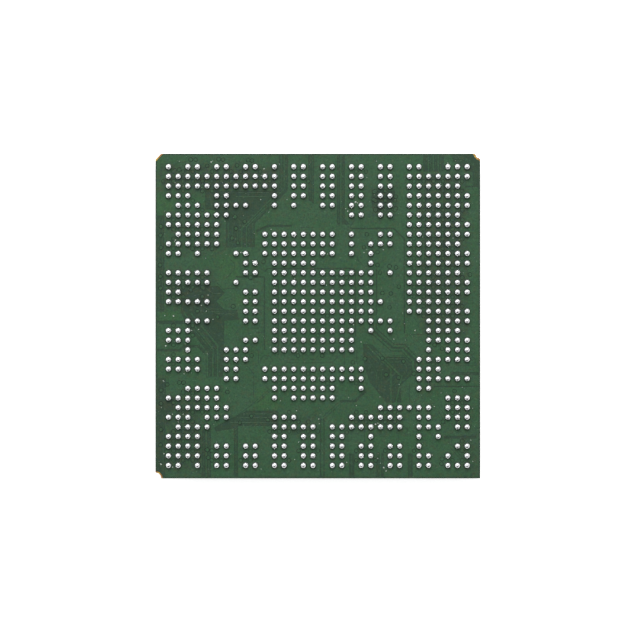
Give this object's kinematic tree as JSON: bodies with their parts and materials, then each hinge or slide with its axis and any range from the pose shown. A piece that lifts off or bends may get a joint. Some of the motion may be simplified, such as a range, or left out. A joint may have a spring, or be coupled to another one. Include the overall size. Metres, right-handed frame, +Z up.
{
  "type": "ball grid array microcontroller chip",
  "caption": "Square ball grid array chip package, lying on its mould cap with the solder balls up, on a green laminate with clipped corners.",
  "frame": {"origin": "middle of the package, on the flat face of the mould cap that it lies on", "axes": "+Z up out of the ball side; +Y towards ball row A; -X towards the first ball column"},
  "size_m": [0.027, 0.027, 0.0021],
  "materials": {
    "laminate": "resin and glass cloth laminate, sawn edges",
    "copper": "etched copper foil under the mask",
    "solder_mask": "green solder mask, satin",
    "gold_plating": "thin gold plating",
    "adhesive": "silver-filled epoxy",
    "silicon": "silicon, ground back",
    "mould_compound": "black epoxy moulding compound",
    "solder": "bright reflowed solder"
  },
  "bodies": {
    "root": {"ball_row_a": "solder", "ball_row_aa": "solder", "ball_row_ab": "solder", "ball_row_ac": "solder", "ball_row_ad": "solder", "ball_row_ae": "solder", "ball_row_af": "solder", "ball_row_ag": "solder", "ball_row_ah": "solder", "ball_row_aj": "solder", "ball_row_ak": "solder", "ball_row_al": "solder", "ball_row_am": "solder", "ball_row_b": "solder", "ball_row_c": "solder", "ball_row_d": "solder", "ball_row_e": "solder", "ball_row_f": "solder", "ball_row_g": "solder", "ball_row_h": "solder", "ball_row_j": "solder", "ball_row_k": "solder", "ball_row_l": "solder", "ball_row_m": "solder", "ball_row_n": "solder", "ball_row_p": "solder", "ball_row_r": "solder", "ball_row_t": "solder", "ball_row_u": "solder", "ball_row_v": "solder", "ball_row_w": "solder", "ball_row_y": "solder", "ball_side_copper": "copper", "ball_side_mask": "solder_mask", "bond_fingers": "gold_plating", "bond_wires": "gold_plating", "corner_plating": "gold_plating", "die_attach": "adhesive", "die_side_copper": "copper", "die_side_mask": "solder_mask", "laminate_core": "laminate", "mould_cap": "mould_compound", "silicon_die": "silicon"}
  },
  "joints": []
}
